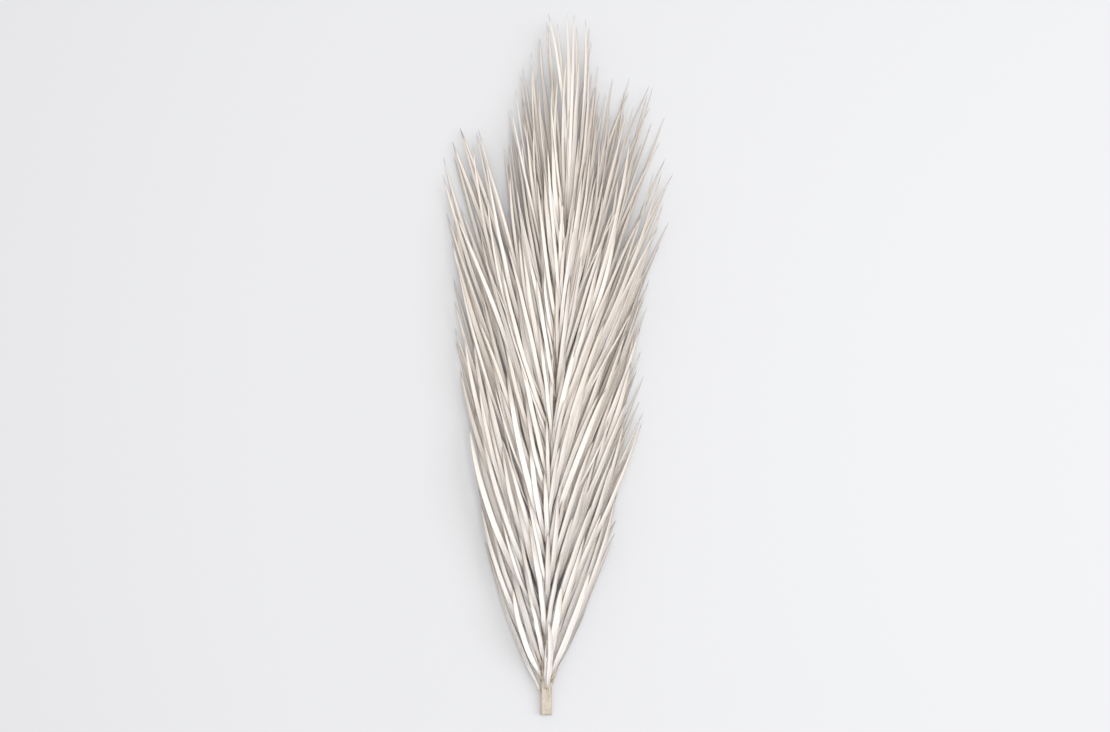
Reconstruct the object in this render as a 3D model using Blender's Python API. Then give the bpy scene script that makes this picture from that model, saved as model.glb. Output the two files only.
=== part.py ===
"""A dried, bleached date palm frond, cut and laid on its back: one channelled stalk and its folded leaflets.

X runs across the frond, Y from the cut end to the tip, and Z is up. The model's origin is on the
surface that the frond lies on, under the middle of its outline.
"""

import itertools
import math
import random

import bmesh
import bpy
from mathutils import Quaternion, Vector
from mathutils.bvhtree import BVHTree

# The stalk: petiole and rachis in one piece. Metres throughout.
STALK_LENGTH = 0.645
STALK_WIDTH = 0.0150
STALK_WIDTH_AT_TIP = 0.0030
STALK_THICKNESS = 0.0090
STALK_THICKNESS_AT_TIP = 0.0026
STALK_LIFT = 0.016  # how far the leaflets hold its middle off the surface
STALK_LIFT_WITHIN = 0.15
STALK_LEAN = 0.026  # how far its tip lies to the right of the cut end
STALK_STRAIGHT = 1.6  # at 1 the lean is half a cosine wave; above it the lower half stays straighter
CHANNEL_DEPTH = 0.30  # of the thickness, at the cut end; the channel closes towards the tip
STALK_RINGS = 25

# The leaflets: straight-veined blades, folded along the midrib with the fold's open side up.
LEAFLETS_A_SIDE = 29
FIRST_LEAFLET_Y = 0.046
LAST_LEAFLET_Y = 0.624
BLADE_WIDTH = 0.0118
LAST_WIDTH = 0.68  # of that width, on the leaflets nearest to the stalk's tip
BLADE_THICKNESS = 0.0009
BASE_SHARE = 0.32  # of the blade's width, where it leaves the stalk
FOLD = math.radians(26)  # each half's slope
ROLL = (34, 50)  # degrees by which the blades lean over each other, like a blind's slats
TWIST = (-12, 12)  # degrees from the stalk to the tip
LEFT_BOW = (0.020, 0.045)  # of the length: the left leaflets curve back towards the stalk's direction
RIGHT_BOW = (0.004, 0.024)
BLADE_RINGS = 11
CLEARANCE = 0.00035  # between any two pieces
SEED = 8

# A leaflet that meets one placed before it is nudged, by the smallest nudge that clears it: so many steps of
# more arch, of its tip to one side, and of roll.
ARCH_STEPS = range(21)
SIDE_STEPS = range(-3, 4)
ROLL_STEPS = range(-1, 2)
ARCH_STEP = 0.008  # of its length
TIP_UP_STEP = 0.0008
SEAT_UP_STEP = 0.00010
SIDE_STEP = 0.004
ROLL_STEP = math.radians(12)

# Where the outermost leaflets' tips come to, as (share of the way up the leafy stretch, x, y). The last
# leaflets of the side lobe are followed by the first ones of the middle lobe, which stand clear of them.
LEFT_LOBE = (
    (0.00, -0.077, 0.255),
    (0.09, -0.090, 0.335),
    (0.24, -0.120, 0.490),
    (0.43, -0.130, 0.650),
    (0.54, -0.130, 0.730),
    (0.58, -0.111, 0.756),
    (0.64, -0.085, 0.746),
)
LEFT_OF_MIDDLE = (
    (0.64, -0.058, 0.735),
    (0.80, -0.043, 0.806),
    (0.90, -0.022, 0.840),
    (1.00, 0.000, 0.886),
)
RIGHT_LOBE = (
    (0.00, 0.080, 0.228),
    (0.06, 0.114, 0.318),
    (0.17, 0.127, 0.407),
    (0.35, 0.133, 0.548),
    (0.47, 0.146, 0.637),
    (0.60, 0.158, 0.732),
    (0.70, 0.132, 0.840),
    (0.76, 0.105, 0.815),
)
RIGHT_OF_MIDDLE = (
    (0.76, 0.086, 0.780),
    (0.88, 0.074, 0.815),
    (1.00, 0.050, 0.886),
)
TIP_OF_FROND = Vector((0.026, 0.900, 0.030))

# Leaflets stand in three tiers, and come from the stalk in that order, over and over. A tier has its shares
# of the outermost spread and length, where it leaves the stalk (a share of its half width), and its tips' heights.
TIERS = (
    {"spread": 1.00, "reach": 1.00, "seat": 0.98, "tip_height": (0.000, 0.005), "arch": -0.005},
    {"spread": 0.80, "reach": 0.88, "seat": 0.80, "tip_height": (0.018, 0.030), "arch": 0.045},
    {"spread": 0.64, "reach": 0.62, "seat": 0.50, "tip_height": (0.028, 0.042), "arch": 0.090},
)
SPREAD_VARIES = (0.95, 1.02)
REACH_VARIES = (0.97, 1.01)

STRAW = (0.80, 0.75, 0.68)
STALK_STRAW = (0.72, 0.65, 0.54)


def through(points, share, column):
    """The value in a column at this share, on a smooth line through a few points."""
    rows = [(row[0], row[column]) for row in points]
    share = min(max(share, rows[0][0]), rows[-1][0])
    place = next((i for i in range(len(rows) - 1) if share <= rows[i + 1][0]), len(rows) - 2)

    def slope(i):
        low, high = max(i - 1, 0), min(i + 1, len(rows) - 1)
        return (rows[high][1] - rows[low][1]) / (rows[high][0] - rows[low][0])

    (x0, y0), (x1, y1) = rows[place], rows[place + 1]
    span = x1 - x0
    t = (share - x0) / span
    return (
        y0 * (2 * t**3 - 3 * t**2 + 1)
        + span * slope(place) * (t**3 - 2 * t**2 + t)
        + y1 * (3 * t**2 - 2 * t**3)
        + span * slope(place + 1) * (t**3 - t**2)
    )


def mix(a, b, share):
    return a + (b - a) * share


def material(name, colour):
    """A dry, matt, straw-like finish."""
    made = bpy.data.materials.new(name)
    made.use_nodes = True
    shader = made.node_tree.nodes["Principled BSDF"]
    shader.inputs["Base Color"].default_value = (*colour, 1.0)
    shader.inputs["Roughness"].default_value = 0.75
    shader.inputs["Metallic"].default_value = 0.0
    return made


def skin(rings, tip=None):
    """A closed mesh over rings of points, ending in a flat face, or in a point where a tip is given."""
    mesh = bmesh.new()
    loops = [[mesh.verts.new(point) for point in ring] for ring in rings]
    for near, far in zip(loops, loops[1:]):
        for i in range(len(near)):
            after = (i + 1) % len(near)
            mesh.faces.new((near[i], near[after], far[after], far[i]))
    mesh.faces.new(loops[0])
    if tip is None:
        mesh.faces.new(loops[-1])
    else:
        point = mesh.verts.new(tip)
        last = loops[-1]
        for i in range(len(last)):
            mesh.faces.new((last[i], last[(i + 1) % len(last)], point))
    bmesh.ops.recalc_face_normals(mesh, faces=mesh.faces)
    bmesh.ops.triangulate(mesh, faces=mesh.faces)
    return mesh


def node(name, mesh, origin, finish, parent):
    """The object for one piece, with its origin where the piece grows from."""
    bmesh.ops.translate(mesh, verts=mesh.verts, vec=-origin)
    data = bpy.data.meshes.new(name)
    mesh.to_mesh(data)
    mesh.free()
    data.materials.append(finish)
    data.shade_smooth()
    data.set_sharp_from_angle(angle=math.radians(40))
    made = bpy.data.objects.new(name, data)
    made.location = origin
    made.parent = parent
    bpy.context.scene.collection.objects.link(made)
    return made


# ---- the stalk


def stalk_point(y):
    """The stalk's centre line: its underside is on the surface at the cut end, and then rises."""
    height = STALK_THICKNESS / 2 + STALK_LIFT * (1 - math.exp(-y / STALK_LIFT_WITHIN))
    lean = STALK_LEAN * (1 - math.cos(math.pi * (y / STALK_LENGTH) ** STALK_STRAIGHT)) / 2
    return Vector((lean, y, height))


def stalk_size(y):
    """(width, thickness) of the stalk at y. It narrows quickly past the petiole, and then slowly."""
    share = (y / STALK_LENGTH) ** 0.8
    return (
        mix(STALK_WIDTH, STALK_WIDTH_AT_TIP, share),
        mix(STALK_THICKNESS, STALK_THICKNESS_AT_TIP, share),
    )


def stalk_section(y):
    """A ring of points: a round underside, two shoulders and the channel between them."""
    width, thickness = stalk_size(y)
    under = [math.radians(180 + 22.5 * i) for i in range(9)]
    outline = [(math.cos(a) * width / 2, math.sin(a) * thickness / 2) for a in under]
    channel = thickness * (0.5 - CHANNEL_DEPTH * (1 - y / STALK_LENGTH))
    shoulder = (width * 0.36, thickness * 0.5)
    outline += [shoulder, (0.0, channel), (-shoulder[0], shoulder[1])]
    centre = stalk_point(y)
    return [centre + Vector((x, 0, z)) for x, z in outline]


def make_stalk():
    heights = [STALK_LENGTH * i / (STALK_RINGS - 1) for i in range(STALK_RINGS)]
    return skin([stalk_section(y) for y in heights])


# ---- the leaflets


def seat_on_stalk(y, sign, out):
    """Where a leaflet's midrib leaves the stalk: out is 1 at the stalk's side, and less higher up on it."""
    width, thickness = stalk_size(y)
    up = math.sqrt(1 - out * out)
    gap = 2 * CLEARANCE
    half_base = BLADE_WIDTH * BASE_SHARE / 2 * math.cos(FOLD)
    aside = out * (width / 2 + half_base) + gap
    return stalk_point(y) + Vector((sign * aside, 0, up * thickness / 2 + gap))


def blade_width_at(share, width):
    """The blade is narrow at the stalk, widest at a third of its length, and then tapers to the tip."""
    base = mix(BASE_SHARE, 1.0, math.sin(math.pi / 2 * min(share / 0.28, 1.0)))
    point = 1.0 if share < 0.30 else 1 - ((share - 0.30) / 0.70) ** 2.8
    return width * base * point


def blade_section(centre, forward, roll, width, thickness, grown):
    """A folded section square to the blade: two halves that rise from the midrib to the margins."""
    up = Vector((0, 0, 1))
    up = (up - forward * up.dot(forward)).normalized()
    up = Quaternion(forward, roll) @ up
    side = forward.cross(up)
    centre = centre - up * (grown / math.cos(FOLD))
    width, thickness = width + 2 * grown, thickness + 2 * grown
    out, rise = width / 2 * math.cos(FOLD), width / 2 * math.sin(FOLD)
    inner = thickness * 0.7
    outline = (
        (-out, rise),
        (0, 0),
        (out, rise),
        (out - inner * math.sin(FOLD), rise + inner * math.cos(FOLD)),
        (0, thickness / math.cos(FOLD)),
        (-out + inner * math.sin(FOLD), rise + inner * math.cos(FOLD)),
    )
    return [centre + side * x + up * z for x, z in outline]


def bezier(points, t):
    a, b, c, d = points
    s = 1 - t
    return a * s**3 + b * (3 * s * s * t) + c * (3 * s * t * t) + d * t**3


def nudged(leaf, steps):
    """The leaflet's midrib, as four control points, and its roll, after this many steps of each nudge."""
    arches, sides, rolls = steps
    seat = leaf["seat"] + Vector((0, 0, SEAT_UP_STEP * arches))
    tip = leaf["tip"] + Vector((SIDE_STEP * sides, 0, TIP_UP_STEP * arches))
    chord = tip - seat
    outwards = Vector((chord.y, -chord.x, 0)).normalized() * leaf["sign"]
    bow = outwards * (leaf["bow"] * chord.length)
    arch = Vector((0, 0, (leaf["arch"] + ARCH_STEP * arches) * chord.length))
    line = [seat, seat + chord * 0.33 + bow + arch, seat + chord * 0.70 + bow * 0.9 + arch * 0.7, tip]
    return line, leaf["roll"] + ROLL_STEP * rolls


def blade(leaf, line, roll, grown=0.0):
    """The blade's mesh along its line. Grown makes it that much larger all round, to test its clearance."""
    rings = []
    for i in range(BLADE_RINGS):
        t = i / BLADE_RINGS
        ahead = bezier(line, t + 0.01) - bezier(line, t - 0.01)
        width = blade_width_at(t, leaf["width"])
        thickness = BLADE_THICKNESS * (0.45 + 0.55 * width / leaf["width"])
        turned = roll + leaf["twist"] * t
        rings.append(blade_section(bezier(line, t), ahead.normalized(), turned, width, thickness, grown))
    return skin(rings, tip=line[-1])


def plan_leaflets(side, sign, lobes, bow, rng):
    """Each leaflet of one side, from the cut end up: where it starts, where its tip comes to, and its shape."""
    plan = []
    for i in range(LEAFLETS_A_SIDE):
        share = i / (LEAFLETS_A_SIDE - 1)
        tier = i % len(TIERS)
        kind = TIERS[tier]
        lobe = lobes[0] if share < lobes[0][-1][0] else lobes[1]
        y = mix(FIRST_LEAFLET_Y, LAST_LEAFLET_Y, share)
        tip_y = y + (through(lobe, share, 2) - y) * rng.uniform(*REACH_VARIES)
        middle_x = mix(stalk_point(y).x, TIP_OF_FROND.x, (tip_y - y) / (TIP_OF_FROND.y - y))
        tip_x = mix(middle_x, through(lobe, share, 1), kind["spread"] * rng.uniform(*SPREAD_VARIES))
        seat = seat_on_stalk(y, sign, kind["seat"])
        tip_height = rng.uniform(*kind["tip_height"])
        tip = seat + (Vector((tip_x, tip_y, 0)) - seat) * kind["reach"]
        plan.append(
            {
                "name": f"leaflet_{side}_{i + 1:02d}",
                "sign": sign,
                "tier": tier,
                "seat": seat,
                "tip": Vector((tip.x, tip.y, tip_height)),
                "arch": kind["arch"],
                "bow": rng.uniform(*bow),
                "width": BLADE_WIDTH * mix(1.0, LAST_WIDTH, share**2) * rng.uniform(0.92, 1.05),
                "roll": -sign * math.radians(rng.uniform(*ROLL)),
                "twist": math.radians(rng.uniform(*TWIST)),
            }
        )
    return plan


def end_leaflet():
    """The single leaflet that carries on from the stalk's end."""
    seat = stalk_point(STALK_LENGTH) + Vector((0, 0.0016, 0))
    return {
        "name": "leaflet_end",
        "sign": 1,
        "seat": seat,
        "tip": TIP_OF_FROND,
        "tier": 0,
        "arch": 0.05,
        "bow": 0.02,
        "width": BLADE_WIDTH * LAST_WIDTH,
        "roll": 0.0,
        "twist": math.radians(12),
    }


def smallest_clear_nudge(leaf, placed):
    """The leaflet's line and roll under the smallest nudge that clears every piece placed before it."""
    choices = itertools.product(ARCH_STEPS, SIDE_STEPS, ROLL_STEPS)
    for steps in sorted(choices, key=lambda one: one[0] + 2 * abs(one[1]) + 2 * abs(one[2])):
        line, roll = nudged(leaf, steps)
        grown = blade(leaf, line, roll, CLEARANCE)
        test = BVHTree.FromBMesh(grown)
        grown.free()
        if not any(test.overlap(other) for other in placed):
            return line, roll
    raise ValueError(leaf["name"] + " finds no clear place")


def make_leaflets(plan, stalk):
    """Makes the leaflets from the lowest tier up. Returns each one's mesh and seat by its name."""
    placed = [BVHTree.FromBMesh(stalk)]
    made = {}
    for leaf in sorted(plan, key=lambda one: one["tier"]):
        line, roll = smallest_clear_nudge(leaf, placed)
        mesh = blade(leaf, line, roll)
        placed.append(BVHTree.FromBMesh(mesh))
        made[leaf["name"]] = (mesh, line[0])
    return made


def main():
    for old in list(bpy.data.objects):
        bpy.data.objects.remove(old)
    rng = random.Random(SEED)
    stalk = make_stalk()
    plan = plan_leaflets("left", -1, (LEFT_LOBE, LEFT_OF_MIDDLE), LEFT_BOW, rng)
    plan += plan_leaflets("right", 1, (RIGHT_LOBE, RIGHT_OF_MIDDLE), RIGHT_BOW, rng)
    plan.append(end_leaflet())
    leaflets = make_leaflets(plan, stalk)

    meshes = [stalk] + [mesh for mesh, seat in leaflets.values()]
    corners = [vert.co for mesh in meshes for vert in mesh.verts]
    low = Vector([min(c[k] for c in corners) for k in range(3)])
    high = Vector([max(c[k] for c in corners) for k in range(3)])

    frond = bpy.data.objects.new("frond", None)
    bpy.context.scene.collection.objects.link(frond)
    frond.location = (-(low.x + high.x) / 2, -(low.y + high.y) / 2, -low.z)

    node("stalk", stalk, Vector((0, 0, 0)), material("stalk", STALK_STRAW), frond)
    straw = material("leaflet", STRAW)
    for name, (mesh, seat) in leaflets.items():
        node(name, mesh, seat, straw, frond)


main()
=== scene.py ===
import itertools
import math
import random
from collections import namedtuple

import bmesh
import bpy
import numpy as np
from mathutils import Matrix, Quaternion, Vector, noise
from mathutils.bvhtree import BVHTree


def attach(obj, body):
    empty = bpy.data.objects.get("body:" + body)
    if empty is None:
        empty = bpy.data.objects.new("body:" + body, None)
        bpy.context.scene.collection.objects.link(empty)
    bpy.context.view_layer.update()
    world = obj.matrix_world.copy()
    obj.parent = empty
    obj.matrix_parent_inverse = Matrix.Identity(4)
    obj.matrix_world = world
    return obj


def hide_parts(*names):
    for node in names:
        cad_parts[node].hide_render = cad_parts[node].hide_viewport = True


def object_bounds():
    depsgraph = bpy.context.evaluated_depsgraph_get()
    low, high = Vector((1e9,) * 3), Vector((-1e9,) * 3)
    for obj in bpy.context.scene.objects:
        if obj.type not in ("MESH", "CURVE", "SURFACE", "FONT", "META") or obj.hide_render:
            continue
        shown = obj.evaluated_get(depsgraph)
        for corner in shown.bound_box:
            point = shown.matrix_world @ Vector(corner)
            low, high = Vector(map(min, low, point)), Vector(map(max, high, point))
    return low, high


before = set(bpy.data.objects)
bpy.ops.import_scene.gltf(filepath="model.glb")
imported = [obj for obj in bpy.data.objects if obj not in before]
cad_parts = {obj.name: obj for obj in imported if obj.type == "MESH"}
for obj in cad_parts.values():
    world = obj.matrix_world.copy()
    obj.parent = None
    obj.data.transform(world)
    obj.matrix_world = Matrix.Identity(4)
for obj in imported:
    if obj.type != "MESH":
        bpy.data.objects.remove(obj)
cad_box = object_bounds()


# ---- Stalk ----------------------------------------------------------------------------------
# The midrib of the palm leaf, dried to pale tan wood: a tapering stem, round below, with a
# channel along its upper face. Its skin is long parallel fibre, and a knife cut it off square.

stalk_ring_corners = 12
stalk_parts_around = 4  # between two corners of the CAD stalk
stalk_parts_along = 7
# Each kind of ridge has its height, and how close the ridges are around and along the stalk.
stalk_ridges = ((0.00022, 9, 9), (0.00011, 23, 30), (0.00035, 2, 45))
stalk_lowest = 0.0001
cut_end_rings = ((0.80, 0.0004), (0.55, 0.0001), (0.28, 0.0006))  # share of the outline, and depth
fibre_stretch = (1700, 30, 1700)
patch_stretch = (60, 14, 60)
speck_stretch = (420, 150, 420)
fibre_relief = 0.0004
wood_pale = (0.51, 0.455, 0.385, 1)
wood_tan = (0.42, 0.36, 0.285, 1)
wood_brown = (0.22, 0.165, 0.12, 1)


def node_corners(name):
    """A CAD node's corners, each once and from the lowest y up, because its mesh is loose triangles."""
    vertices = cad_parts[name].data.vertices
    corners = {tuple(round(value, 6) for value in vertex.co) for vertex in vertices}
    return [Vector(corner) for corner in sorted(corners, key=lambda corner: (corner[1], corner))]


def smooth_rows(rows, parts, closed):
    """A smooth curve through the rows, with so many parts between each two."""
    if closed:
        padded = np.concatenate([rows[-1:], rows, rows[:2]])
    else:
        padded = np.concatenate([2 * rows[:1] - rows[1:2], rows, 2 * rows[-1:] - rows[-2:-1]])
    smooth = []
    for a, b, c, d in zip(padded, padded[1:], padded[2:], padded[3:]):
        for t in np.arange(parts) / parts:
            bend = (2 * a - 5 * b + 4 * c - d) * t**2
            smooth.append(b + ((c - a) * t + bend + (3 * b - a - 3 * c + d) * t**3) / 2)
    if not closed:
        smooth.append(rows[-1])
    return np.array(smooth)


def around_middle(ring):
    """A ring's corners in order around its middle."""
    middle = (np.min(ring, 0) + np.max(ring, 0)) / 2
    return sorted(ring, key=lambda corner: math.atan2(corner[2] - middle[2], corner[0] - middle[0]))


def put(tree, kind, feeds=(), **settings):
    """Adds a node to a tree, with its settings. Feeds gives its inputs a value, or a socket to read."""
    made = tree.nodes.new(kind)
    for name, value in settings.items():
        setattr(made, name, value)
    for name, feed in dict(feeds).items():
        if isinstance(feed, bpy.types.NodeSocket):
            tree.links.new(feed, made.inputs[name])
        else:
            made.inputs[name].default_value = feed
    return made


def maths(tree, operation, *terms):
    """The result of a Math node."""
    return put(tree, "ShaderNodeMath", enumerate(terms), operation=operation).outputs[0]


def ramp(tree, factor, *stops):
    """A colour that runs through the stops, each a position and a colour."""
    made = put(tree, "ShaderNodeValToRGB", {"Fac": factor})
    elements = made.color_ramp.elements
    while len(elements) < len(stops):
        elements.new(0.5)
    for element, (position, colour) in zip(elements, stops):
        element.position = position
        element.color = colour
    return made.outputs["Color"]


def mixed(tree, factor, one, other):
    """One colour going over to another."""
    return put(tree, "ShaderNodeMix", {"Factor": factor, 6: one, 7: other}, data_type="RGBA").outputs[2]


def grain(tree, place, stretch, detail=3.0):
    """Noise from 0 to 1 at a place, drawn out by its own scale on each axis."""
    drawn = put(tree, "ShaderNodeMapping", {"Vector": place, "Scale": stretch}).outputs[0]
    feeds = {"Vector": drawn, "Scale": 1.0, "Detail": detail, "Roughness": 0.6}
    return put(tree, "ShaderNodeTexNoise", feeds).outputs["Fac"]


def new_material(name, roughness, specular):
    """A material with its tree and its shader."""
    made = bpy.data.materials.new(name)
    made.use_nodes = True
    shader = made.node_tree.nodes["Principled BSDF"]
    shader.inputs["Roughness"].default_value = roughness
    shader.inputs["Specular IOR Level"].default_value = specular
    return made, made.node_tree, shader


stalk_corners = node_corners("stalk")
stalk_rings = np.array([
    around_middle(stalk_corners[start : start + stalk_ring_corners])
    for start in range(0, len(stalk_corners), stalk_ring_corners)
])
stalk_middles = (stalk_rings.min(1) + stalk_rings.max(1)) / 2
stalk_half_widths = (stalk_rings[:, :, 0].max(1) - stalk_rings[:, :, 0].min(1)) / 2
stalk_tops = stalk_rings[:, :, 2].max(1)

stalk_skin = np.array([smooth_rows(ring, stalk_parts_around, closed=True) for ring in stalk_rings])
stalk_skin = smooth_rows(stalk_skin, stalk_parts_along, closed=False)
for row in stalk_skin:
    row_middle = (row.min(0) + row.max(0)) / 2
    taper = (row[:, 0].max() - row[:, 0].min()) / (2 * stalk_half_widths[0])
    for corner in row:
        out = Vector(corner - row_middle).normalized()
        ridge = 0.0
        for height, around, along in stalk_ridges:
            ridge += height * noise.noise((out.x * around, out.z * around, corner[1] * along))
        corner += np.array(out) * ridge * taper
    row[:, 2] = np.maximum(row[:, 2], stalk_lowest)

stalk_bm = bmesh.new()
stalk_rows = [[stalk_bm.verts.new(corner) for corner in row] for row in stalk_skin]
for end, inward in ((0, 1), (-1, -1)):
    edge = stalk_skin[end]
    middle = edge.mean(0)
    for size, depth in cut_end_rings:
        ring = middle + (edge - middle) * size
        ring[:, 1] += inward * depth * size
        capped = 0 if end == 0 else len(stalk_rows)
        stalk_rows.insert(capped, [stalk_bm.verts.new(corner) for corner in ring])
for row, following in itertools.pairwise(stalk_rows):
    for i, j in zip(range(len(row)), [*range(1, len(row)), 0]):
        stalk_bm.faces.new((row[i], row[j], following[j], following[i]))
for row in (stalk_rows[0], stalk_rows[-1]):
    stalk_bm.faces.new(row)
bmesh.ops.recalc_face_normals(stalk_bm, faces=stalk_bm.faces)
for face in stalk_bm.faces:
    face.smooth = True
stalk_mesh = bpy.data.meshes.new("stalk_wood")
stalk_bm.to_mesh(stalk_mesh)
stalk_bm.free()
stalk_wood = bpy.data.objects.new("stalk_wood", stalk_mesh)
bpy.context.scene.collection.objects.link(stalk_wood)

wood, tree, shader = new_material("dried_stalk_wood", roughness=0.62, specular=0.35)
here = put(tree, "ShaderNodeTexCoord").outputs["Object"]
fibres = grain(tree, here, fibre_stretch, detail=4.0)
patches = grain(tree, here, patch_stretch)
colour = ramp(tree, fibres, (0.34, wood_brown), (0.46, wood_tan), (0.56, wood_pale))
colour = mixed(tree, maths(tree, "MULTIPLY", patches, 0.40), colour, wood_pale)
specks = ramp(tree, grain(tree, here, speck_stretch), (0.66, (0, 0, 0, 1)), (0.74, (1, 1, 1, 1)))
colour = mixed(tree, maths(tree, "MULTIPLY", specks, 0.5), colour, wood_brown)
tree.links.new(colour, shader.inputs["Base Color"])
feeds = {"Strength": 0.6, "Distance": fibre_relief, "Height": fibres}
tree.links.new(put(tree, "ShaderNodeBump", feeds).outputs[0], shader.inputs["Normal"])
stalk_wood.data.materials.append(wood)

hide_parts("stalk")
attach(stalk_wood, "root")


# ---- Leaflets -------------------------------------------------------------------------------
# Long narrow blades of dried palm, folded in a V along the midrib. Each grows out of the stalk's
# edge on a narrow foot, leans over its neighbour and tapers to a point. They dried pale straw.

leaflets_a_side = 29
blade_ring_corners = 6
foot_in_stalk = 0.004
foot_narrows = 0.8
blade_across = 9  # points from margin to margin
blade_along = 27
fold_at_foot = math.radians(58)
fold_in_middle = math.radians(31)
fold_at_tip = math.radians(42)
blade_thickness = 0.0006
margin_wave = 0.0005
line_points = 60
fold_opens_by = 0.28  # share of the blade's length
fold_closes_from = 0.60
fold_varies = (0.7, 1.3)
fold_roundness = 1.25
waves = (12.0, 30.0)  # radians of wave along a blade
waves_end_from = 0.70
margin_thins = 0.6
thick_foot = (0.0, 0.12, 1.3, 0.5)  # from one share of the length to another, and the thickness at both
thin_tip = (0.8, 1.0, 1.0, 0.4)
sides_seed = 4
strip_half = 0.44  # of a skin's strip in the baked picture, which the skin fills
tones_apart = 60.0
veins_on_blade = (8.0, 1.6, 1.0)
patches_on_blade = (0.8, 4.0, 1.0)
specks_on_blade = (7.0, 42.0, 3.0)
ribs_across = 34.0
blade_relief = 0.0003
straw_white = (0.79, 0.785, 0.785, 1)
straw_pale = (0.76, 0.715, 0.665, 1)
straw_warm = (0.70, 0.63, 0.555, 1)
straw_foot = (0.66, 0.575, 0.46, 1)
straw_tip = (0.74, 0.675, 0.61, 1)
straw_brown = (0.34, 0.25, 0.18, 1)
# The margin colour is partly the dried leaf's own browning and partly painted shade, the dark lines that
# fall between neighbouring leaflets.
straw_edge_brown_and_shade = (0.50, 0.385, 0.315, 1)
straw_vein = (0.60, 0.50, 0.415, 1)
# Where each of these colours comes in: from one place to another, and its share at both.
white_low_on_leaf = (-0.36, 0.02, 0.80, 0.0)
warm_patches = (0.42, 0.70, 0.0, 0.5)
stained_foot = (0.16, 0.0, 0.0, 0.8)
stained_tip = (0.62, 1.0, 0.0, 0.65)
# The brown towards the margins is partly the leaf's own and partly painted shade between leaflets.
browned_and_shaded_margin = (0.70, 1.0, 0.0, 0.6)
warm_midrib = (0.0, 0.16, 0.5, 0.0)
brown_specks = (0.70, 0.80, 0.0, 0.6)

Leaflet = namedtuple("Leaflet", "points open_sides half_widths")  # one of each for each ring, foot to tip


def leaflet_from(name):
    """The line of a CAD leaflet, and how wide it is and which way its V opens along it."""
    corners = node_corners(name)
    points, open_sides, half_widths = [], [], []
    for start in range(0, len(corners) - 1, blade_ring_corners):
        ring = corners[start : start + blade_ring_corners]
        one, other = max(itertools.combinations(ring, 2), key=lambda pair: (pair[0] - pair[1]).length)
        middle = (one + other) / 2
        across = (other - one).normalized()
        midrib = max(ring, key=lambda corner: (corner - middle).cross(across).length)
        points.append(midrib)
        open_sides.append((middle - midrib).normalized())
        half_widths.append((one - midrib).length)
    points.append(corners[-1])
    open_sides.append(open_sides[-1])
    half_widths.append(0.0)
    into_stalk = (points[0] - points[1]).normalized() * foot_in_stalk
    points.insert(0, points[0] + into_stalk)
    open_sides.insert(0, open_sides[0])
    half_widths.insert(0, half_widths[0] * foot_narrows)
    return Leaflet(np.array(points), np.array(open_sides), np.array(half_widths))


def vectors(tree, operation, *terms):
    """The result of a Vector Math node. A scale's factor is its fourth term."""
    feeds = {place: term for place, term in enumerate(terms) if term is not None}
    made = put(tree, "ShaderNodeVectorMath", feeds, operation=operation)
    return made.outputs["Value" if operation == "DOT_PRODUCT" else "Vector"]


def eased(tree, value, start, end, low, high):
    """A number that goes smoothly from low to high while a value goes from start to end."""
    feeds = {"Value": value, "From Min": start, "From Max": end, 3: low, 4: high}
    return put(tree, "ShaderNodeMapRange", feeds, interpolation_type="SMOOTHSTEP").outputs[0]


def store(tree, geometry, name, value, data_type="FLOAT", domain="POINT"):
    """The geometry with a named attribute on it."""
    feeds = {"Geometry": geometry, "Name": name, "Value": value}
    made = put(tree, "GeometryNodeStoreNamedAttribute", feeds, data_type=data_type, domain=domain)
    return made.outputs[0]


def named(tree, name, data_type="FLOAT"):
    """The value of a named attribute."""
    return put(tree, "GeometryNodeInputNamedAttribute", {"Name": name}, data_type=data_type).outputs[0]


def chance(tree, low, high, each, seed):
    """A random number for each leaflet, the same in each run."""
    return put(tree, "FunctionNodeRandomValue", {2: low, 3: high, "ID": each, "Seed": seed}).outputs[1]


def geometry_tree(name, sizes):
    """A Geometry Nodes tree, and the sockets of its named inputs: whole numbers, numbers and a material."""
    tree = bpy.data.node_groups.new(name, "GeometryNodeTree")
    tree.interface.new_socket("Geometry", in_out="OUTPUT", socket_type="NodeSocketGeometry")
    tree.interface.new_socket("Geometry", in_out="INPUT", socket_type="NodeSocketGeometry")
    for label, size in sizes.items():
        kind = "Int" if isinstance(size, int) else "Float"
        socket = tree.interface.new_socket(label, in_out="INPUT", socket_type=f"NodeSocket{kind}")
        socket.default_value = size
    tree.interface.new_socket("Material", in_out="INPUT", socket_type="NodeSocketMaterial")
    return tree, tree.nodes.new("NodeGroupInput").outputs


def finish_tree(tree, geometry, material):
    """Makes what a tree built real and smooth, and gives it its material."""
    geometry = put(tree, "GeometryNodeSetShadeSmooth", {"Geometry": geometry}).outputs[0]
    geometry = put(tree, "GeometryNodeRealizeInstances", {"Geometry": geometry}).outputs[0]
    geometry = put(tree, "GeometryNodeSetMaterial", {"Geometry": geometry, "Material": material}).outputs[0]
    put(tree, "NodeGroupOutput", {"Geometry": geometry})


def grown(name, mesh, tree, **inputs):
    """The object that a tree makes from a mesh, as a plain mesh."""
    made = bpy.data.objects.new(name, mesh)
    bpy.context.scene.collection.objects.link(made)
    modifier = made.modifiers.new(tree.name, "NODES")
    modifier.node_group = tree
    for item in tree.interface.items_tree:
        if item.in_out == "INPUT" and item.name in inputs:
            modifier[item.identifier] = inputs[item.name]
    evaluated = made.evaluated_get(bpy.context.evaluated_depsgraph_get())
    plain = bpy.data.meshes.new_from_object(evaluated)
    made.modifiers.clear()
    made.data = plain
    return made


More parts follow.
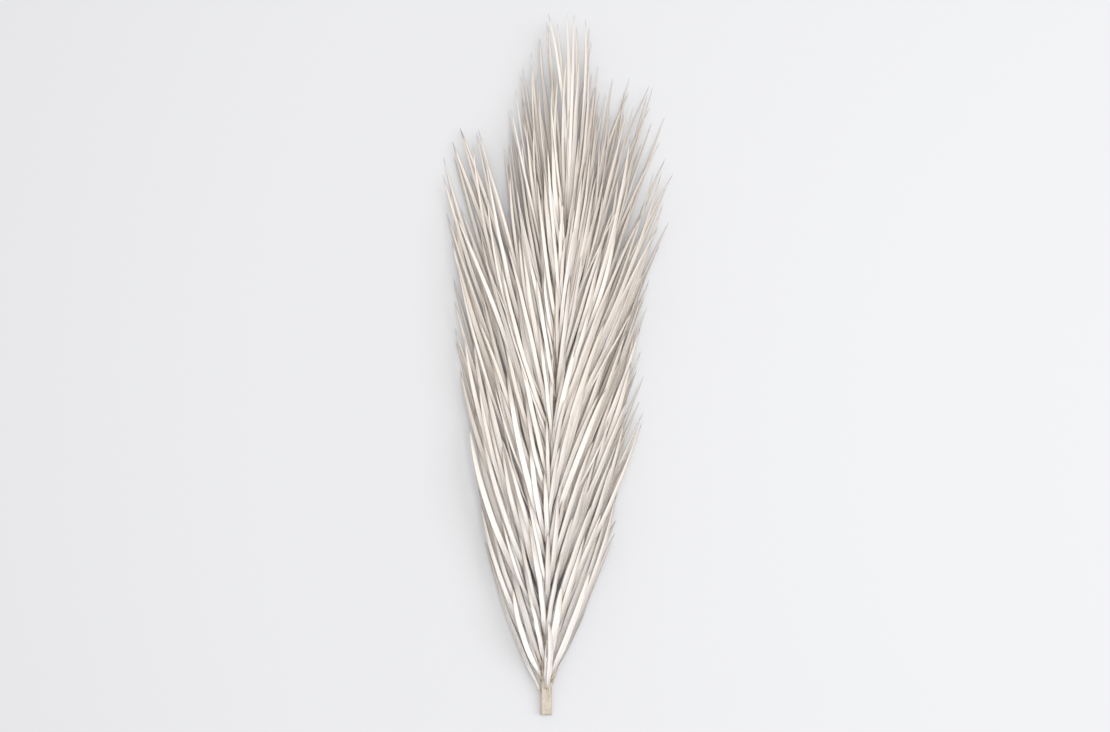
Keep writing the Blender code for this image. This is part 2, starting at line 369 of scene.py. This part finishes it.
def lines_of(leaflets):
    """A mesh of the leaflets' lines alone, with their widths and open sides on its points."""
    mesh = bpy.data.meshes.new("leaflet_lines")
    points = np.concatenate([leaflet.points for leaflet in leaflets])
    starts = np.cumsum([0] + [len(leaflet.points) for leaflet in leaflets])
    edges = [(i, i + 1) for start, end in itertools.pairwise(starts) for i in range(start, end - 1)]
    mesh.from_pydata(points.tolist(), edges, [])
    widths = mesh.attributes.new("half_width", "FLOAT", "POINT")
    widths.data.foreach_set("value", np.concatenate([leaflet.half_widths for leaflet in leaflets]))
    sides = mesh.attributes.new("open_side", "FLOAT_VECTOR", "POINT")
    sides.data.foreach_set("vector", np.concatenate([leaflet.open_sides for leaflet in leaflets]).ravel())
    return mesh


blade_tree, feed = geometry_tree("folded_leaflets", {
    "Points across": blade_across,
    "Points along": blade_along,
    "Fold at foot": fold_at_foot,
    "Fold in middle": fold_in_middle,
    "Fold at tip": fold_at_tip,
    "Thickness": blade_thickness,
    "Margin wave": margin_wave,
    "Seed": sides_seed,
})
tree = blade_tree
lines = put(tree, "GeometryNodeMeshToCurve", {"Mesh": feed["Geometry"]}).outputs[0]
lines = put(tree, "GeometryNodeCurveSplineType", {"Curve": lines}, spline_type="CATMULL_ROM").outputs[0]
lines = put(tree, "GeometryNodeResampleCurve", {"Curve": lines, "Count": line_points}).outputs[0]

# One flat blade, two skins that meet at its rim: x runs across it and y along it.
flat = put(tree, "GeometryNodeMeshGrid", {
    "Size X": 2.0,
    "Size Y": 1.0,
    "Vertices X": feed["Points across"],
    "Vertices Y": feed["Points along"],
}).outputs["Mesh"]
place = put(tree, "ShaderNodeSeparateXYZ", {0: put(tree, "GeometryNodeInputPosition").outputs[0]})
across = place.outputs["X"]
along = maths(tree, "ADD", place.outputs["Y"], 0.5)
flat = store(tree, flat, "across", across)
flat = store(tree, flat, "along", along)
off_foot = maths(tree, "GREATER_THAN", along, 0.001)
off_tip = maths(tree, "LESS_THAN", along, 0.999)
off_margin = maths(tree, "LESS_THAN", maths(tree, "ABSOLUTE", across), 0.999)
inside = maths(tree, "MULTIPLY", maths(tree, "MULTIPLY", off_foot, off_tip), off_margin)
to_tip = maths(tree, "MULTIPLY", across, off_tip)
skins = []
for sign in (1, -1):
    raised = put(tree, "ShaderNodeCombineXYZ", {
        "X": to_tip,
        "Y": along,
        "Z": maths(tree, "MULTIPLY", inside, sign),
    }).outputs[0]
    skins.append(put(tree, "GeometryNodeSetPosition", {"Geometry": flat, "Position": raised}).outputs[0])
upper, lower = skins
lower = put(tree, "GeometryNodeFlipFaces", {"Mesh": lower}).outputs[0]
lower = store(tree, lower, "under", 1.0, domain="FACE")
both = put(tree, "GeometryNodeJoinGeometry")
tree.links.new(lower, both.inputs[0])
tree.links.new(upper, both.inputs[0])
feeds = {"Geometry": both.outputs[0], "Distance": 0.0001}
blade = put(tree, "GeometryNodeMergeByDistance", feeds).outputs[0]
place = put(tree, "ShaderNodeSeparateXYZ", {0: put(tree, "GeometryNodeInputPosition").outputs[0]})
blade = store(tree, blade, "skin", place.outputs["Z"])

# One blade for each line, bent along it.
counted = put(tree, "GeometryNodeAttributeDomainSize", {"Geometry": lines}, component="CURVE")
count = counted.outputs["Spline Count"]
feet = put(tree, "GeometryNodePoints", {"Count": count}).outputs[0]
feet = store(tree, feet, "leaflet", put(tree, "GeometryNodeInputIndex").outputs[0], data_type="INT")
blades = put(tree, "GeometryNodeInstanceOnPoints", {"Points": feet, "Instance": blade}).outputs[0]
blades = put(tree, "GeometryNodeRealizeInstances", {"Geometry": blades}).outputs[0]
across, along, skin = (named(tree, name) for name in ("across", "along", "skin"))
leaflet = named(tree, "leaflet", "INT")
where = {"Curves": lines, "Factor": along, "Curve Index": leaflet}
at_line = put(tree, "GeometryNodeSampleCurve", {**where, "Value": named(tree, "half_width")}, mode="FACTOR")
facing = put(
    tree, "GeometryNodeSampleCurve", {**where, "Value": named(tree, "open_side", "FLOAT_VECTOR")},
    data_type="FLOAT_VECTOR", mode="FACTOR",
).outputs["Value"]
half_width = at_line.outputs["Value"]
ahead = vectors(tree, "NORMALIZE", at_line.outputs["Tangent"])
off_line = vectors(tree, "SCALE", ahead, None, None, vectors(tree, "DOT_PRODUCT", facing, ahead))
open_side = vectors(tree, "NORMALIZE", vectors(tree, "SUBTRACT", facing, off_line))
sideways = vectors(tree, "CROSS_PRODUCT", ahead, open_side)

fold = eased(tree, along, 0.0, fold_opens_by, feed["Fold at foot"], feed["Fold in middle"])
closing = maths(tree, "SUBTRACT", feed["Fold at tip"], feed["Fold in middle"])
closed = maths(tree, "MULTIPLY", closing, eased(tree, along, fold_closes_from, 1.0, 0.0, 1.0))
fold = maths(tree, "ADD", fold, closed)
fold = maths(tree, "MULTIPLY", fold, chance(tree, *fold_varies, leaflet, feed["Seed"]))
out = maths(tree, "MULTIPLY", maths(tree, "MULTIPLY", across, half_width), maths(tree, "COSINE", fold))
bend = maths(tree, "POWER", maths(tree, "ABSOLUTE", across), fold_roundness)
rise = maths(tree, "MULTIPLY", maths(tree, "MULTIPLY", bend, half_width), maths(tree, "SINE", fold))
wave_start = chance(tree, 0.0, math.tau, leaflet, maths(tree, "ADD", feed["Seed"], 1.0))
wave_turns = chance(tree, *waves, leaflet, maths(tree, "ADD", feed["Seed"], 2.0))
wave = maths(tree, "SINE", maths(tree, "ADD", maths(tree, "MULTIPLY", along, wave_turns), wave_start))
at_margin = maths(tree, "POWER", bend, 2.0)
wave = maths(tree, "MULTIPLY", maths(tree, "MULTIPLY", wave, feed["Margin wave"]), at_margin)
wave = maths(tree, "MULTIPLY", wave, eased(tree, along, waves_end_from, 1.0, 1.0, 0.0))
thinner = maths(tree, "SUBTRACT", 1.0, maths(tree, "MULTIPLY", bend, margin_thins))
thick = maths(tree, "MULTIPLY", feed["Thickness"], thinner)
thick = maths(tree, "MULTIPLY", thick, eased(tree, along, *thick_foot))
thick = maths(tree, "MULTIPLY", thick, eased(tree, along, *thin_tip))
rise = maths(tree, "ADD", maths(tree, "ADD", rise, wave), maths(tree, "MULTIPLY", skin, thick))
bent = vectors(tree, "ADD", at_line.outputs["Position"], vectors(tree, "SCALE", sideways, None, None, out))
bent = vectors(tree, "ADD", bent, vectors(tree, "SCALE", open_side, None, None, rise))
blades = put(tree, "GeometryNodeSetPosition", {"Geometry": blades, "Position": bent}).outputs[0]
tone = chance(tree, 0.0, 1.0, leaflet, maths(tree, "ADD", feed["Seed"], 3.0))
blades = store(tree, blades, "tone", tone)
strip = maths(tree, "ADD", maths(tree, "MULTIPLY", leaflet, 2.0), named(tree, "under"))
strip = maths(tree, "ADD", strip, maths(tree, "ADD", 0.5, maths(tree, "MULTIPLY", across, strip_half)))
strip = maths(tree, "DIVIDE", strip, maths(tree, "MULTIPLY", count, 2.0))
strips = put(tree, "ShaderNodeCombineXYZ", {"X": strip, "Y": along}).outputs[0]
blades = store(tree, blades, "OFBake", strips, data_type="FLOAT2", domain="CORNER")
finish_tree(tree, blades, feed["Material"])

straw, tree, shader = new_material("dried_leaflet_straw", roughness=0.72, specular=0.22)
across = put(tree, "ShaderNodeAttribute", attribute_name="across").outputs["Fac"]
along = put(tree, "ShaderNodeAttribute", attribute_name="along").outputs["Fac"]
tone = put(tree, "ShaderNodeAttribute", attribute_name="tone").outputs["Fac"]
on_blade = put(tree, "ShaderNodeCombineXYZ", {
    "X": across,
    "Y": along,
    "Z": maths(tree, "MULTIPLY", tone, tones_apart),
}).outputs[0]
veins = grain(tree, on_blade, veins_on_blade, detail=5.0)
patches = grain(tree, on_blade, patches_on_blade, detail=2.0)
straws = ((0.30, straw_vein), (0.42, straw_warm), (0.52, straw_pale), (0.64, straw_white))
colour = ramp(tree, veins, *straws)
colour = mixed(tree, maths(tree, "MULTIPLY", tone, 0.45), colour, straw_white)
here = put(tree, "ShaderNodeTexCoord").outputs["Object"]
up_leaf = put(tree, "ShaderNodeSeparateXYZ", {0: here}).outputs["Y"]
colour = mixed(tree, eased(tree, up_leaf, *white_low_on_leaf), colour, straw_white)
colour = mixed(tree, eased(tree, patches, *warm_patches), colour, straw_warm)
colour = mixed(tree, eased(tree, along, *stained_foot), colour, straw_foot)
colour = mixed(tree, eased(tree, along, *stained_tip), colour, straw_tip)
# Browner towards the margins: partly the dried leaf's own browning, partly painted shade for the dark lines
# between overlapping leaflets.
margin = eased(tree, maths(tree, "ABSOLUTE", across), *browned_and_shaded_margin)
colour = mixed(tree, margin, colour, straw_edge_brown_and_shade)
midrib = eased(tree, maths(tree, "ABSOLUTE", across), *warm_midrib)
colour = mixed(tree, midrib, colour, straw_warm)
specks = grain(tree, on_blade, specks_on_blade, detail=2.0)
colour = mixed(tree, eased(tree, specks, *brown_specks), colour, straw_brown)
tree.links.new(colour, shader.inputs["Base Color"])
ribs = maths(tree, "SINE", maths(tree, "MULTIPLY", across, ribs_across))
height = maths(tree, "ADD", maths(tree, "MULTIPLY", ribs, 0.35), veins)
feeds = {"Strength": 0.5, "Distance": blade_relief, "Height": height}
tree.links.new(put(tree, "ShaderNodeBump", feeds).outputs[0], shader.inputs["Normal"])

sides = {}
for side in ("left", "right"):
    names = [f"leaflet_{side}_{number:02}" for number in range(1, leaflets_a_side + 1)]
    sides[side] = [leaflet_from(name) for name in names]
    blades = grown(f"blades_{side}", lines_of(sides[side]), blade_tree, Material=straw)
    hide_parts(*names)
    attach(blades, "root")


# ---- End leaflet ----------------------------------------------------------------------------
# The last leaflet, in line with the stalk at its tip: the same dried blade as the others.

end_seed = 9

end_leaflet = leaflet_from("leaflet_end")
end_blade = grown("blade_at_tip", lines_of([end_leaflet]), blade_tree, Material=straw, Seed=end_seed)
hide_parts("leaflet_end")
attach(end_blade, "root")


# ---- Leaflets between ------------------------------------------------------------------------
# The rest of the leaflets, which grow in the gaps between the ones that have a CAD solid. The upper
# ones lie along the stalk and hide it, so the leaf looks full.

layers = 3
# A row of them goes with a layer. It has its shares of each gap, its turn and length against its
# neighbours', how much higher its tips are, and how far out on the stalk its feet sit. Shares below
# 0 and above 1 grow only below the lowest and above the highest of the layer.
Row = namedtuple("Row", "layer shares turn reach lift seat")
between_rows = (
    Row(0, (0.44, 1.15), 1.03, 1.01, 0.004, 0.85),
    Row(0, (0.78, 1.25), 0.97, 0.98, 0.008, 0.85),
    Row(0, (-0.25, 0.20), 1.00, 0.99, 0.002, 0.85),
    Row(0, (0.10, 0.62), 0.92, 0.91, 0.003, 0.80),
    Row(0, (0.34,), 1.05, 0.86, 0.002, 0.80),
    Row(1, (-0.30, 0.22), 1.16, 1.04, -0.006, 0.70),
    Row(1, (0.08,), 1.24, 1.11, -0.008, 0.85),
    Row(1, (0.56, 1.20), 0.98, 0.92, 0.004, 0.60),
    Row(1, (0.85,), 1.10, 0.96, 0.002, 0.60),
    Row(2, (-0.60, 0.44), 1.32, 1.00, 0.000, 0.50),
    Row(2, (0.30, 1.50), 1.15, 1.12, -0.004, 0.45),
    Row(2, (0.72,), 1.00, 0.80, 0.006, 0.35),
    Row(2, (-0.40, 0.15), 0.62, 0.74, 0.008, 0.20),
    Row(2, (-0.80, 0.88), 0.35, 0.60, 0.004, 0.05),
)
# A tuft fills one gap, between two leaflets by their place from the foot (none is the one at the
# tip): the blunt top of the side lobe, the crown, and then narrow torn strips across the rest.
Tuft = namedtuple("Tuft", "side first last shares turn reach width")
tufts = (
    Tuft("left", 15, 18, (0.16, 0.26, 0.36, 0.46, 0.56, 0.66, 0.75), 0.97, 1.08, 1.15),
    Tuft("left", 27, None, (0.02, 0.18, 0.36, 0.62), 1.00, 1.09, 1.15),
    Tuft("right", 27, None, (0.08, 0.28, 0.48, 0.72), 1.00, 1.09, 1.15),
    Tuft("right", 18, 21, (0.25, 0.60), 1.00, 1.02, 1.00),
    Tuft("left", 8, 11, (0.30, 0.70), 1.65, 0.90, 0.50),
    Tuft("left", 14, 17, (0.25, 0.65), 1.90, 0.92, 0.50),
    Tuft("left", 20, 23, (0.50,), 2.10, 0.90, 0.45),
    Tuft("right", 8, 11, (0.50,), 1.60, 0.90, 0.50),
    Tuft("right", 14, 17, (0.20, 0.75), 1.80, 0.95, 0.50),
    Tuft("right", 20, 23, (0.30, 0.80), 2.20, 0.90, 0.45),
    Tuft("right", 23, 26, (0.50,), 2.60, 0.85, 0.45),
)
tuft_lift = 0.006
tuft_seat = 0.5
between_seed = 30
dice_seed = 21
outwards = {"left": -1, "right": 1}
between_points = {"Points across": 5, "Points along": 17}
reach_varies = (0.96, 1.02)
tip_strays = 0.011
roll_varies = math.radians(16)
bow_varies = 0.012
flatter = 0.15  # at 1 they lie flat, and at 0 they lean over as the CAD ones do
between_width = (0.76, 0.96)
upper_width = 0.66  # of the lower ones' width
bluntness = 0.55  # at 1 a leaflet tapers as the CAD ones do, and below it its tip is blunter
foot_depth = 0.35  # below the stalk's top, of its half width
notch_low = Vector((-0.086, 0.200))  # the gap beside the side lobe, where no tip lies
notch_high = Vector((-0.061, 0.420))
lowest_point = 0.0012
arches = (0.0, 0.010, 0.022, 0.036)
rolls = (0.0, 0.20, -0.20)
bows = (0.0, 0.03, -0.03)


def stalk_at(y):
    """The stalk's middle from above, its half width and its top at a y."""
    levels = stalk_middles[:, 1]
    middle = Vector((np.interp(y, levels, stalk_middles[:, 0]), y))
    return middle, np.interp(y, levels, stalk_half_widths), np.interp(y, levels, stalk_tops)


def turned(leaflet, angle):
    """A leaflet turned about the upright line through its foot."""
    spin = np.array(Quaternion((0, 0, 1), angle).to_matrix())
    foot = leaflet.points[0]
    points = foot + (leaflet.points - foot) @ spin.T
    return leaflet._replace(points=points, open_sides=leaflet.open_sides @ spin.T)


def bent_by(leaflet, arch, roll, bow):
    """A leaflet with a higher middle, rolled over about its own line, and bowed sideways."""
    chord = Vector(leaflet.points[-1] - leaflet.points[0])
    share = np.linspace(0, 1, len(leaflet.points))[:, None]
    hump = 4 * share * (1 - share) * chord.length
    sideways = chord.cross(Vector((0, 0, 1))).normalized()
    points = leaflet.points + hump * (np.array((0, 0, arch)) + np.array(sideways) * bow)
    points[:, 2] = np.maximum(points[:, 2], lowest_point)
    spin = np.array(Quaternion(chord.normalized(), roll).to_matrix())
    return leaflet._replace(points=points, open_sides=leaflet.open_sides @ spin.T)


def thin_sheet(leaflet):
    """A leaflet as two strips of faces that meet at the midrib, to find what it touches."""
    ahead = np.gradient(leaflet.points, axis=0)
    ahead /= np.linalg.norm(ahead, axis=1)[:, None]
    rise = leaflet.open_sides * (leaflet.half_widths * math.sin(fold_in_middle))[:, None]
    out = np.cross(ahead, leaflet.open_sides)
    out *= (leaflet.half_widths * math.cos(fold_in_middle))[:, None]
    margins = leaflet.points + rise
    rows = np.stack([margins - out, leaflet.points, margins + out], axis=1)[2:]
    faces = []
    for row, column in itertools.product(range(len(rows) - 1), range(2)):
        corner = row * 3 + column
        faces.append((corner, corner + 1, corner + 4, corner + 3))
    corners = rows.reshape(-1, 3)
    return BVHTree.FromPolygons(corners.tolist(), faces), corners.min(0), corners.max(0)


def touches(sheet, others):
    """How many faces of the others a leaflet goes through."""
    surface, low, high = sheet
    near = [other for other in others if (other[1] < high).all() and (other[2] > low).all()]
    return sum(len(surface.overlap(other[0])) for other in near)


def leaflet_between(one, other, share, row, sign, dice):
    """A leaflet that grows between two others of its layer."""
    points = one.points * (1 - share) + other.points * share
    open_sides = one.open_sides * (1 - share) + other.open_sides * share
    open_sides = open_sides * (1 - flatter) + np.array((0, 0, flatter))
    open_sides /= np.linalg.norm(open_sides, axis=1)[:, None]
    half_widths = one.half_widths * (1 - share) + other.half_widths * share
    half_widths *= dice.uniform(*between_width)
    foot_y = points[0][1]
    half_widths *= np.interp(foot_y, stalk_middles[[0, -1], 1], (1, upper_width))
    widest = half_widths.argmax()
    narrowing = half_widths[widest:] / half_widths[widest]
    half_widths[widest:] = half_widths[widest] * narrowing**bluntness
    middle, half_width, top = stalk_at(foot_y)
    foot_x = middle.x + sign * row.seat * half_width
    foot = np.array((foot_x, foot_y, top - foot_depth * half_width * row.seat))
    points = foot + (points - points[0]) * row.reach * dice.uniform(*reach_varies)
    chord = points[-1] - points[0]
    off_stalk = math.atan2(chord[0], chord[1])
    stray = dice.uniform(-tip_strays, tip_strays) / np.linalg.norm(chord)
    made = turned(Leaflet(points, open_sides, half_widths), off_stalk * (1 - row.turn) + stray)
    made.points[:, 2] += row.lift * np.linspace(0, 1, len(points))
    tip = made.points[-1]
    if notch_low.x < tip[0] < notch_high.x and notch_low.y < tip[1] < notch_high.y:
        shorter = (notch_low.y - foot_y) / (tip[1] - foot_y)
        made = made._replace(points=foot + (made.points - foot) * shorter)
    roll = dice.uniform(-roll_varies, roll_varies)
    return bent_by(made, 0.0, roll, dice.uniform(-bow_varies, bow_varies))


def lay(leaflet, placed):
    """The way to lie, of all the ways it tries, in which a leaflet goes through the fewest others."""
    ways = [bent_by(leaflet, *way) for way in itertools.product(arches, rolls, bows)]
    best = min(ways, key=lambda way: touches(thin_sheet(way), placed))
    placed.append(thin_sheet(best))
    return best


dice = random.Random(dice_seed)
placed = [thin_sheet(leaflet) for side in sides.values() for leaflet in side]
placed.append(thin_sheet(end_leaflet))
between = {"left": [], "right": []}
for row, (side, sign) in itertools.product(between_rows, outwards.items()):
    pairs = list(itertools.pairwise(sides[side][row.layer :: layers]))
    for gap, (one, other) in enumerate(pairs):
        for share in row.shares:
            if (share < 0 and gap > 0) or (share > 1 and gap < len(pairs) - 1):
                continue
            made = leaflet_between(one, other, share, row, sign, dice)
            between[side].append(lay(made, placed))
for tuft in tufts:
    one = sides[tuft.side][tuft.first]
    other = end_leaflet if tuft.last is None else sides[tuft.side][tuft.last]
    row = Row(0, tuft.shares, tuft.turn, tuft.reach, tuft_lift, tuft_seat)
    for share in row.shares:
        made = leaflet_between(one, other, share, row, outwards[tuft.side], dice)
        made = made._replace(half_widths=made.half_widths * tuft.width)
        between[tuft.side].append(lay(made, placed))

for side, leaflets in between.items():
    feeds = {**between_points, "Material": straw, "Seed": between_seed}
    blades = grown(f"blades_between_{side}", lines_of(leaflets), blade_tree, **feeds)
    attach(blades, "root")


# ---- Knuckles -------------------------------------------------------------------------------
# The small hard swelling where each leaflet's foot grows out of the stalk. It is the same dried
# wood as the stalk, and grew as one with it.

knuckle_size = 0.0016
knuckle_stretch = 2.6
knuckle_forward = 0.0015
knuckle_segments = 8
knuckle_rings = 5

knuckle_tree, feed = geometry_tree("knuckles", {"Size": knuckle_size, "Stretch": knuckle_stretch})
tree = knuckle_tree
feeds = {"Segments": knuckle_segments, "Rings": knuckle_rings, "Radius": feed["Size"]}
knob = put(tree, "GeometryNodeMeshUVSphere", feeds).outputs["Mesh"]
pointing = {"Vector": named(tree, "forward", "FLOAT_VECTOR")}
turn = put(tree, "FunctionNodeAlignRotationToVector", pointing, axis="Z").outputs[0]
size = named(tree, "knuckle")
longer = maths(tree, "MULTIPLY", size, feed["Stretch"])
scale = put(tree, "ShaderNodeCombineXYZ", {"X": size, "Y": size, "Z": longer}).outputs[0]
feeds = {"Points": feed["Geometry"], "Instance": knob, "Rotation": turn, "Scale": scale}
knobs = put(tree, "GeometryNodeInstanceOnPoints", feeds).outputs[0]
finish_tree(tree, knobs, feed["Material"])

rooted = [*sides["left"], *sides["right"], *between["left"], *between["right"], end_leaflet]
knuckle_mesh = bpy.data.meshes.new("knuckle_places")
forwards = np.array([leaflet.points[2] - leaflet.points[0] for leaflet in rooted])
forwards /= np.linalg.norm(forwards, axis=1)[:, None]
places = np.array([leaflet.points[1] for leaflet in rooted]) + forwards * knuckle_forward
knuckle_mesh.from_pydata(places.tolist(), [], [])
knuckle_forwards = knuckle_mesh.attributes.new("forward", "FLOAT_VECTOR", "POINT")
knuckle_forwards.data.foreach_set("vector", forwards.ravel())
sizes = np.array([leaflet.half_widths[1] for leaflet in rooted])
knuckle_sizes = knuckle_mesh.attributes.new("knuckle", "FLOAT", "POINT")
knuckle_sizes.data.foreach_set("value", sizes / sizes.max())
knuckles = grown("leaflet_knuckles", knuckle_mesh, knuckle_tree, Material=wood)
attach(knuckles, "root")


# ---- Room and camera ------------------------------------------------------------------------
# The leaf lies on a pale matte surface, in soft daylight from a window on the right and under a
# soft lamp, and is seen from straight above.

floor_size = 40.0
floor_colour = (0.550, 0.560, 0.581, 1)
camera_lens = 70.0
view_width = 1.4208
sky_strength = 0.91
sky_colour = (1.0, 0.975, 0.95, 1)
picture_gamma = 1.12
SoftLight = namedtuple("SoftLight", "name energy size place colour")
soft_lights = (
    SoftLight("window", 95.0, (2.2, 3.2), Vector((3.6, -0.4, 2.9)), (0.94, 0.97, 1.0)),
    SoftLight("lamp", 41.0, (1.8, 1.8), Vector((0.3, 0.0, 3.0)), (1.0, 0.98, 0.96)),
)

floor_bm = bmesh.new()
bmesh.ops.create_grid(floor_bm, x_segments=1, y_segments=1, size=floor_size / 2)
floor_mesh = bpy.data.meshes.new("floor")
floor_bm.to_mesh(floor_mesh)
floor_bm.free()
floor = bpy.data.objects.new("floor", floor_mesh)
bpy.context.scene.collection.objects.link(floor)
floor_paint, tree, shader = new_material("pale_floor", roughness=0.9, specular=0.1)
shader.inputs["Base Color"].default_value = floor_colour
floor.data.materials.append(floor_paint)

for soft in soft_lights:
    light = bpy.data.lights.new(soft.name, "AREA")
    light.shape = "RECTANGLE"
    light.size, light.size_y = soft.size
    light.energy = soft.energy
    light.color = soft.colour
    light_object = bpy.data.objects.new(soft.name, light)
    bpy.context.scene.collection.objects.link(light_object)
    light_object.location = soft.place
    light_object.rotation_euler = (-soft.place).to_track_quat("-Z", "Y").to_euler()

sky = bpy.data.worlds.new("sky")
sky.use_nodes = True
background = sky.node_tree.nodes["Background"]
background.inputs["Color"].default_value = sky_colour
background.inputs["Strength"].default_value = sky_strength
bpy.context.scene.world = sky
bpy.context.scene.view_settings.view_transform = "Standard"
bpy.context.scene.view_settings.gamma = picture_gamma

camera = bpy.data.cameras.new("camera")
camera.lens = camera_lens
camera_object = bpy.data.objects.new("camera", camera)
bpy.context.scene.collection.objects.link(camera_object)
leaf_middle = (cad_box[0] + cad_box[1]) / 2
camera_object.location = leaf_middle + Vector((0, 0, view_width * camera_lens / camera.sensor_width))
bpy.context.scene.camera = camera_object
